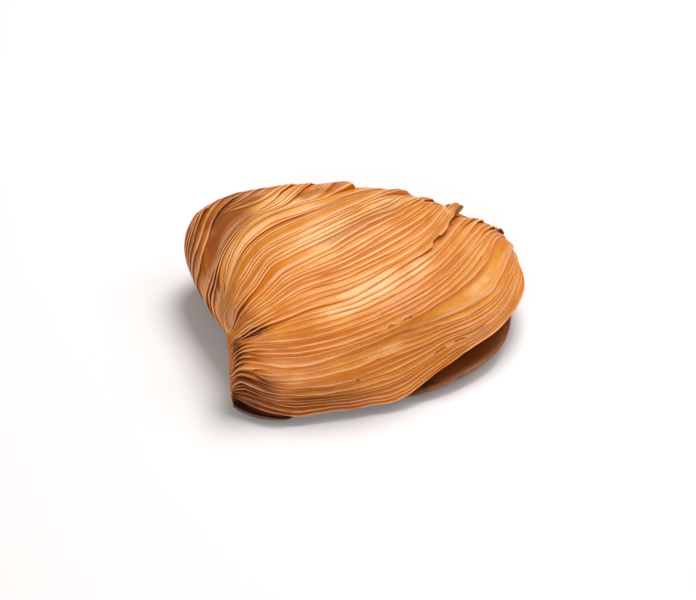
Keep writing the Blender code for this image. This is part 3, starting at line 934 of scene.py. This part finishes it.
# %% Closed pieces
def closed_strip(name, rows, looks, turn):
    """A closed mesh through rows of points, from the coiled end to the far corner, with its looks."""
    rows, looks = rolled_end(np.array(rows), looks, np.clip(turn, 0, 1))
    count, columns = rows.shape[:2]
    points = np.vstack([rows.reshape(-1, 3), [rows[:, 0].mean(axis=0), FAR_CORNER]])
    near, far = len(points) - 2, len(points) - 1
    here = (np.arange(count) * columns)[:, None] + np.arange(columns - 1)[None, :]
    above = ((np.arange(count) + 1) % count * columns)[:, None] + np.arange(columns - 1)[None, :]
    faces = np.stack([here, here + 1, above + 1, above], axis=-1).reshape(-1, 4).tolist()
    starts = np.arange(count) * columns
    nexts = (np.arange(count) + 1) % count * columns
    faces += [(near, a, b) for a, b in zip(starts.tolist(), nexts.tolist())]
    faces += [(far, b + columns - 1, a + columns - 1) for a, b in zip(starts.tolist(), nexts.tolist())]
    mesh = bpy.data.meshes.new(name)
    mesh.from_pydata(in_metres(points).tolist(), [], faces)
    for key, grid in looks.items():
        grid = np.array(grid, float)
        width = grid.shape[2] if grid.ndim == 3 else 1
        flat = grid.reshape(count * columns, width)
        flat = np.vstack([flat, flat[:1], flat[columns - 1 : columns]])
        kind = "FLOAT" if width == 1 else "FLOAT_VECTOR"
        layer = mesh.attributes.new(key, kind, "POINT")
        layer.data.foreach_set("value" if width == 1 else "vector", flat.ravel())
    mesh.shade_smooth()
    mesh.set_sharp_from_angle(angle=SHARP_ANGLE)
    piece = bpy.data.objects.new(name, mesh)
    bpy.context.scene.collection.objects.link(piece)
    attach(piece, "root")
    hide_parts(NODE)
    print(f"{name}: {len(mesh.polygons)} faces, {2 * len(mesh.polygons) - 2 * count} triangles")
    return piece


# %% [markdown]
# ## How far each place is baked
#
# The oven browns whatever stands proud or is thin: both corners, the thin leaves behind the hump's
# furrow, the lip and the underside, which lay on the tray. The crown stays golden. Paler places,
# most of them on the crown, get a painted sheen.

# %% Browning
TOASTED = (
    # leaf number, reach, way, reach, how much
    (1, 7, 0.0, 0.24, 0.95),
    (4, 9, 0.03, 0.28, 0.72),
    (1, 6, 0.2, 0.3, 0.55),
    (12, 20, 0.02, 0.14, 0.5),
    (34, 10, 0.17, 0.1, 0.3),
    (58, 3.6, 0.28, 0.09, 0.4),
    (55.2, 3, 0.335, 0.09, 0.62),
    (55, 2.8, 0.4, 0.11, 0.68),
    (57.2, 3, 0.465, 0.09, 0.62),
    (60, 3.2, 0.53, 0.08, 0.5),
    (64, 7, 0.42, 0.24, 0.45),
    (72, 9, 0.38, 0.5, 0.6),
    (76, 8, 0.5, 0.8, 0.7),
    (57, 14, 0.16, 0.1, 0.15),
    (20, 3, 0.94, 0.03, 0.7),
    (51.8, 1.6, 0.6, 0.05, 0.5),
    (52.5, 2.6, 0.67, 0.06, 0.3),
    (40, 70, 1.0, 0.05, 0.7),
    (13.6, 1.4, 0.46, 0.09, 0.25),
    (38.4, 2.6, 0.595, 0.14, 0.34),
    (24.8, 1.5, 0.7, 0.1, 0.25),
    (5, 7, 0.58, 0.3, 0.15),
    (5, 4, 0.3, 0.14, 0.35),
    (6.8, 0.4, 0.405, 0.003, 0.8),
    (16.5, 0.4, 0.527, 0.003, 0.9),
)
PALE_AND_SHEEN = (
    # paler dough with a painted sheen, in the same way
    (41, 8, 0.5, 0.17, 1.35),
    (24, 5, 0.48, 0.14, 1.2),
    (41, 7, 0.68, 0.12, 1.2),
    (23.5, 4, 0.6, 0.08, 0.8),
    (22, 4, 0.42, 0.08, 0.9),
    (49.5, 3, 0.4, 0.18, 1.2),
    # painted light on the shaded end wall of the broken flap
    (28, 4, 0.775, 0.02, 1.2),
    (14.5, 3, 0.7, 0.2, 0.8),
    (18, 12, 0.76, 0.24, 0.4),
    (30, 8, 0.6, 0.2, 0.3),
    (10.8, 1.6, 0.47, 0.08, 0.9),
    (52, 7, 0.53, 0.12, 1.0),
    (22, 5, 0.84, 0.1, 0.3),
)
TONE_SHARE = 0.6  # of a leaf's shade that is its own, and as much again that drifts along it
LEAF_TONE = np.random.default_rng(61).uniform(-1, 1, (LEAF_COUNT + 1, 1)) * TONE_SHARE
LEAF_TONE = LEAF_TONE + TONE_SHARE * wander(62, LEAF_COUNT + 1, 25)


def padded(grid, value, extra):
    """The grid with this many more rows, all of one value."""
    return np.vstack([grid, np.full((extra, COLUMNS), float(value))])


def build_leaves(name, first, last):
    """One piece: the leaves from first up to last, closed on the inside."""
    rows = []
    under = []  # the leaf that each row lies on: a leaf's pocket row lies on the leaf below
    for k in range(first, last):
        own = leaf_rows(k)
        rows += [(k, *row) for row in own]
        under += [k - 1] + [k] * (len(own) - 1)
    owner = np.array([row[0] for row in rows])
    leaf = np.array([row[1] for row in rows])
    height = np.array([row[2] + 0 * WAYS for row in rows])
    points = grid_points(leaf, height)
    below = np.array([undercut(k, row) for k, row in zip(under, leaf)])
    tangent = np.gradient(envelope(leaf, WAYS), axis=1)
    tangent /= np.maximum(np.linalg.norm(tangent, axis=2, keepdims=True), 1e-9)
    points = list(points - below[..., None] * tangent)
    # Faces drawn back under the broken flap lose their pale rim and most of their painted shade.
    behind = ease(below, 0.2, 1.5)
    rim = np.array([row[3] + 0 * WAYS for row in rows]) * (1 - behind)
    painted_shade = np.array([row[4] + 0 * WAYS for row in rows]) * (1 - 0.8 * behind)
    inner = inner_rows(leaf[0].mean(), leaf[-1].mean())
    extra = len(inner)
    along = WAYS * LEAF_LENGTH + 0 * leaf
    from_edge = (leaf - EDGES[owner]) * MILLIMETRES[np.minimum(owner, LEAF_COUNT - 1)]
    grain = np.stack([along, from_edge, owner[:, None] + 0 * leaf], axis=-1)
    looks = {
        "rim": padded(rim, 0, extra),
        "painted_shade": padded(painted_shade, 1, extra),
        "toast": padded(blobs(leaf, TOASTED, plateau), 0.5, extra),
        "pale_and_sheen": padded(blobs(leaf, PALE_AND_SHEEN), 0, extra),
        "tone": padded(LEAF_TONE[owner], 0, extra),
        "grain": np.concatenate([grain, np.zeros((extra, COLUMNS, 3))]),
    }
    turn = np.concatenate([leaf[:, 0], np.zeros(extra)]) / ALL_ROUND
    return closed_strip(name, points + inner, looks, turn)


PIECES = ("front_leaves", "side_leaves", "crown_leaves", "hump_leaves", "back_leaves")
SPLITS = (0, FIRSTS[2], FIRSTS[6], FIRSTS[10], FIRSTS[15], LEAF_COUNT)
leaf_pieces = [build_leaves(*piece) for piece in zip(PIECES, SPLITS, SPLITS[1:])]

# %% [markdown]
# ## The underside and the lip
#
# Below the slit one broad leaf sticks out like a lower lip, and carries on under the pastry as the
# flat sole that lay on the baking tray.

# %% Sole and lip
SOLE_LEAVES = (80, 81.5, 83, 84.5, 86, 88, 90, 92, 94, 96, 98, 100, 102, 103.5, 104.8, 105.6, 106)
SLIT_DEPTH = 13
SLIT_OPENS = (38, 60)
SLIT_CLOSES = (88, 104)
LIP_THICKNESS = 1.0
# (way, how far the lip and the sole are baked)
LIP_BURNT = ((0, 1.1), (0.03, 1.05), (0.12, 1), (0.25, 0.95), (0.5, 1), (0.7, 0.75), (1, 0.7))
# (way, mm outwards) of the lip: out at the near corner, and tucked under the front
RIM_MOVED = (
    (0, 0.9), (0.02, 1.2), (0.05, 1.2), (0.09, 1.1), (0.13, 0.9), (0.18, 0.5), (0.22, 0), (0.27, -4),
    (0.44, -4), (0.5, -0.6), (0.54, 0), (1, 0),
)
NEAR_HOLLOW = (0.0, 0.1, 2.0)  # a small hollow at the near corner: its way, its reach, and its depth in mm
# (way, share of its height that the lip loses)
LIP_LOW = ((0, -0.35), (0.02, 0), (0.05, 0.3), (0.08, 0.42), (0.14, 0.5), (0.2, 0.3), (0.27, 0), (1, 0))
LIP_LEAVES = (101, 106)  # leaf numbers between which the sole takes on the lip's shape
INNER_LIP = 98  # the leaf on the underside that the lip runs in towards
# Across the lip from its rim: share of its depth inwards, share of its thickness upwards.
LIP_PROFILE = ((-0.02, 0.5), (0.03, 1.0), (0.25, 1.0), (0.5, 0.9), (0.8, 0.9), (1.1, 1.1))
PAST_THE_ROOF = 1.2  # share of the gap that the back of the slit climbs, up into the leaves above
# The inside of the slit is painted dark, as shade: where the lip goes in, and darker from there on.
SLIT_SHADE = (0.35, 0.8)  # how dark the slit is: where the lip goes in, and from there on
# The edge of the lip is painted paler, as a painted highlight.
LIP_RIM = 0.35  # how pale and glossy the edge of the lip is


def slit_opening(rim):
    """How far the slit is open in each column, from 0 to 1, by where the lip's rim is."""
    return ease(rim[:, 0], *SLIT_OPENS) * (1 - ease(rim[:, 0], *SLIT_CLOSES))


def build_sole():
    """The underside, its rim, the lip and the inside of the slit, as one closed piece."""
    leaf = np.array(SOLE_LEAVES)[:, None] + 0 * WAYS
    height = 0.25 * waves(71, leaf, 12, 30) * ease(leaf, 80, 84)
    points = grid_points(leaf, height + AVERAGE_STEP)
    inward = envelope(np.full((1, COLUMNS), float(INNER_LIP)), WAYS)[0] - points[-1]
    inward[:, 2] = 0
    inward /= np.maximum(np.linalg.norm(inward, axis=1, keepdims=True), 1e-6)
    moved = line(RIM_MOVED) * ease(leaf, *LIP_LEAVES)
    points = points - moved[..., None] * inward
    points[..., 2] *= 1 - line(LIP_LOW) * ease(leaf, *LIP_LEAVES)
    rim = points[-1]
    roof = grid_points(EDGES[:1] * 1.0, np.zeros((1, COLUMNS)))[0]
    gap = np.linalg.norm(roof - rim, axis=1)
    opening = slit_opening(rim)
    hollow = NEAR_HOLLOW[2] * swell(WAYS, *NEAR_HOLLOW[:2])
    depth = (np.maximum(0.8 * gap, hollow) * (1 - opening) + SLIT_DEPTH * opening)[:, None]
    up = np.array((0, 0, 1.0))
    thick = np.minimum(LIP_THICKNESS, 0.3 * gap)[:, None]
    lip = []
    for share, lift in LIP_PROFILE:
        lip.append(rim + up * thick * lift + share * depth * inward)
    lip.append(lip[-1] + up * (gap[:, None] * PAST_THE_ROOF))
    inner = inner_rows(80, 97)
    rows = list(points) + lip + inner
    count = len(rows)
    numbers = np.vstack([leaf, np.full((len(lip) + len(inner), COLUMNS), 106.0)])
    painted_shade = np.zeros((count, COLUMNS))
    painted_shade[len(points) + 3 :] = SLIT_SHADE[0]
    painted_shade[len(points) + 4 :] = SLIT_SHADE[1]
    # Less painted shade in the small hollow at the near corner.
    painted_shade *= 1 - 0.8 * swell(WAYS, *NEAR_HOLLOW[:2])
    rim_look = np.zeros((count, COLUMNS))
    rim_look[len(points) - 1 : len(points) + 2] = LIP_RIM
    toast = line(LIP_BURNT) + 0 * numbers
    along = WAYS * LEAF_LENGTH + 0 * numbers
    across = np.arange(count)[:, None] + 0 * numbers
    looks = {
        "rim": rim_look,
        "painted_shade": painted_shade,
        "toast": toast,
        "pale_and_sheen": np.zeros((count, COLUMNS)),
        "tone": np.zeros((count, COLUMNS)),
        "grain": np.stack([along, across * 1.3, 0 * numbers + 90], axis=-1),
    }
    return closed_strip("sole_and_lip", rows, looks, numbers[:, 0] / ALL_ROUND)


sole = build_sole()

# %% [markdown]
# ## The crust
#
# One procedural material covers every leaf. Its colour is built up in the order that an oven builds
# it: golden dough with blotches and streaks that run along each leaf, then browning, then the pale
# rims. Over these go a painted sheen on paler places, a painted highlight on the rims and, last,
# painted shade: orange at the foot of each leaf and dark red in the pockets.

# %% Crust material
AMBER = (0.43, 0.105, 0.007, 1)
ORANGE = (0.55, 0.165, 0.01, 1)
GOLD = (0.64, 0.25, 0.035, 1)
PALE_GOLD = (0.76, 0.44, 0.18, 1)
BROWN = (0.22, 0.052, 0.008, 1)
BURNT = (0.045, 0.015, 0.01, 1)
# pale rim colour: partly the paler dough of the thin cut edges, partly a painted highlight
CREAM = (0.76, 0.39, 0.18, 1)
# saturated orange painted at the foot of each leaf, as the shade under the edge above it
PAINTED_FOOT_SHADE = (0.56, 0.16, 0.01, 1)
# dark red painted in the pockets and slots, as their shade
PAINTED_SHADE_RED = (0.16, 0.026, 0.004, 1)
SHADES = ((ORANGE, 0.05, 0.42), (GOLD, 0.38, 0.68), (PALE_GOLD, 0.66, 1.05))  # tones they come in at
LEAF_SHARE = 0.17  # how much a leaf's own shade counts in the tone
# The sheen counted here is the painted sheen of the paler places.
TONE_SHARES = (0.7, 0.45, 0.45, 0.5)  # and how much blotches, streaks, fine grain and sheen count
TONE_DOWN = 0.37  # taken off the sum
GLOW = 0.5  # how much of the light passes into the thin dough
GLOW_RADIUS = (1.0, 0.6, 0.35)  # how far red, green and blue spread in it
GLOW_DEPTH = 0.0007  # metres
GLOSS = 0.25
BUMP_STRENGTH = 0.45
BUMP_DEPTH = 0.0003  # metres


class Nodes:
    """A short way to add nodes and join them up."""

    def __init__(self, material):
        self.tree = material.node_tree

    def add(self, kind, **settings):
        node = self.tree.nodes.new(kind)
        for key, value in settings.items():
            setattr(node, key, value)
        return node

    def link(self, source, target):
        self.tree.links.new(source, target)

    def feed(self, socket, value):
        if hasattr(value, "is_output"):
            self.link(value, socket)
        else:
            socket.default_value = value

    def read(self, name, output="Fac"):
        return self.add("ShaderNodeAttribute", attribute_name=name).outputs[output]

    def math(self, operation, a, b=0.0, clamp=False):
        node = self.add("ShaderNodeMath", operation=operation, use_clamp=clamp)
        self.feed(node.inputs[0], a)
        self.feed(node.inputs[1], b)
        return node.outputs[0]

    def mix(self, factor, a, b, blend="MIX"):
        node = self.add("ShaderNodeMix", data_type="RGBA", blend_type=blend)
        self.feed(node.inputs[0], factor)
        self.feed(node.inputs[6], a)
        self.feed(node.inputs[7], b)
        return node.outputs[2]

    def ramp(self, value, low, high):
        node = self.add("ShaderNodeMapRange", interpolation_type="SMOOTHSTEP")
        self.feed(node.inputs[0], value)
        node.inputs[1].default_value = low
        node.inputs[2].default_value = high
        return node.outputs[0]

    def noise(self, vector, scale, detail=3.0, stretch=(1, 1, 1), roughness=0.5):
        mapping = self.add("ShaderNodeMapping")
        self.feed(mapping.inputs["Vector"], vector)
        mapping.inputs["Scale"].default_value = stretch
        node = self.add("ShaderNodeTexNoise")
        self.link(mapping.outputs[0], node.inputs["Vector"])
        node.inputs["Scale"].default_value = scale
        node.inputs["Detail"].default_value = detail
        node.inputs["Roughness"].default_value = roughness
        return node.outputs["Fac"]


def crust_material():
    """Baked dough: colours mixed by tone, then baking and pale rims, with painted highlights and shade."""
    material = bpy.data.materials.new("crust")
    material.use_nodes = True
    nodes = Nodes(material)
    shader = material.node_tree.nodes["Principled BSDF"]
    grain = nodes.read("grain", "Vector")
    spot = nodes.add("ShaderNodeTexCoord").outputs["Object"]
    blotch = nodes.noise(spot, 110, 3)
    fine = nodes.noise(spot, 1500, 3)
    streak = nodes.noise(grain, 1.0, 2, (0.09, 1.1, 1.7))
    toast = nodes.read("toast")
    tone = nodes.math("MULTIPLY", nodes.read("tone"), LEAF_SHARE)
    for source, share in zip((blotch, streak, fine, nodes.read("pale_and_sheen")), TONE_SHARES):
        tone = nodes.math("ADD", tone, nodes.math("MULTIPLY", source, share))
    tone = nodes.math("SUBTRACT", tone, TONE_DOWN)
    colour = AMBER
    for shade, low, high in SHADES:
        colour = nodes.mix(nodes.ramp(tone, low, high), colour, shade)
    painted_shade = nodes.read("painted_shade")
    # Painted shade: the foot of each leaf first turns a saturated orange.
    colour = nodes.mix(nodes.ramp(painted_shade, 0.0, 0.35), colour, PAINTED_FOOT_SHADE)
    uneven = nodes.math("ADD", nodes.math("MULTIPLY", blotch, 0.6), 0.7)
    baked = nodes.math("MULTIPLY", toast, uneven, True)
    colour = nodes.mix(nodes.ramp(baked, 0.0, 0.85), colour, BROWN)
    colour = nodes.mix(nodes.ramp(baked, 0.86, 1.0), colour, BURNT)
    # Pale rims, partly painted highlight, fainter where the leaf is baked more.
    rim = nodes.math("MULTIPLY", nodes.read("rim"), nodes.ramp(streak, 0.25, 0.6))
    rim = nodes.math("MULTIPLY", rim, nodes.math("SUBTRACT", 0.85, nodes.math("MULTIPLY", toast, 0.6), True))
    colour = nodes.mix(rim, colour, CREAM)
    # Deeper painted shade turns dark red.
    colour = nodes.mix(nodes.ramp(painted_shade, 0.25, 0.9), colour, PAINTED_SHADE_RED)
    nodes.link(colour, shader.inputs["Base Color"])
    rough = nodes.math("ADD", nodes.math("MULTIPLY", fine, 0.25), 0.24)
    rough = nodes.math("ADD", rough, nodes.math("MULTIPLY", painted_shade, 0.5), True)
    nodes.link(rough, shader.inputs["Roughness"])
    shader.inputs["Subsurface Weight"].default_value = GLOW
    shader.inputs["Subsurface Radius"].default_value = GLOW_RADIUS
    shader.inputs["Subsurface Scale"].default_value = GLOW_DEPTH
    shader.inputs["Specular IOR Level"].default_value = GLOSS
    bump = nodes.add("ShaderNodeBump")
    bump.inputs["Strength"].default_value = BUMP_STRENGTH
    bump.inputs["Distance"].default_value = BUMP_DEPTH
    height = nodes.math("ADD", nodes.math("MULTIPLY", streak, 0.3), fine)
    nodes.link(height, bump.inputs["Height"])
    nodes.link(bump.outputs[0], shader.inputs["Normal"])
    return material


crust = crust_material()
for piece in [*leaf_pieces, sole]:
    piece.data.materials.append(crust)
print("crust:", len(crust.node_tree.nodes), "nodes on", len(leaf_pieces) + 1, "pieces")
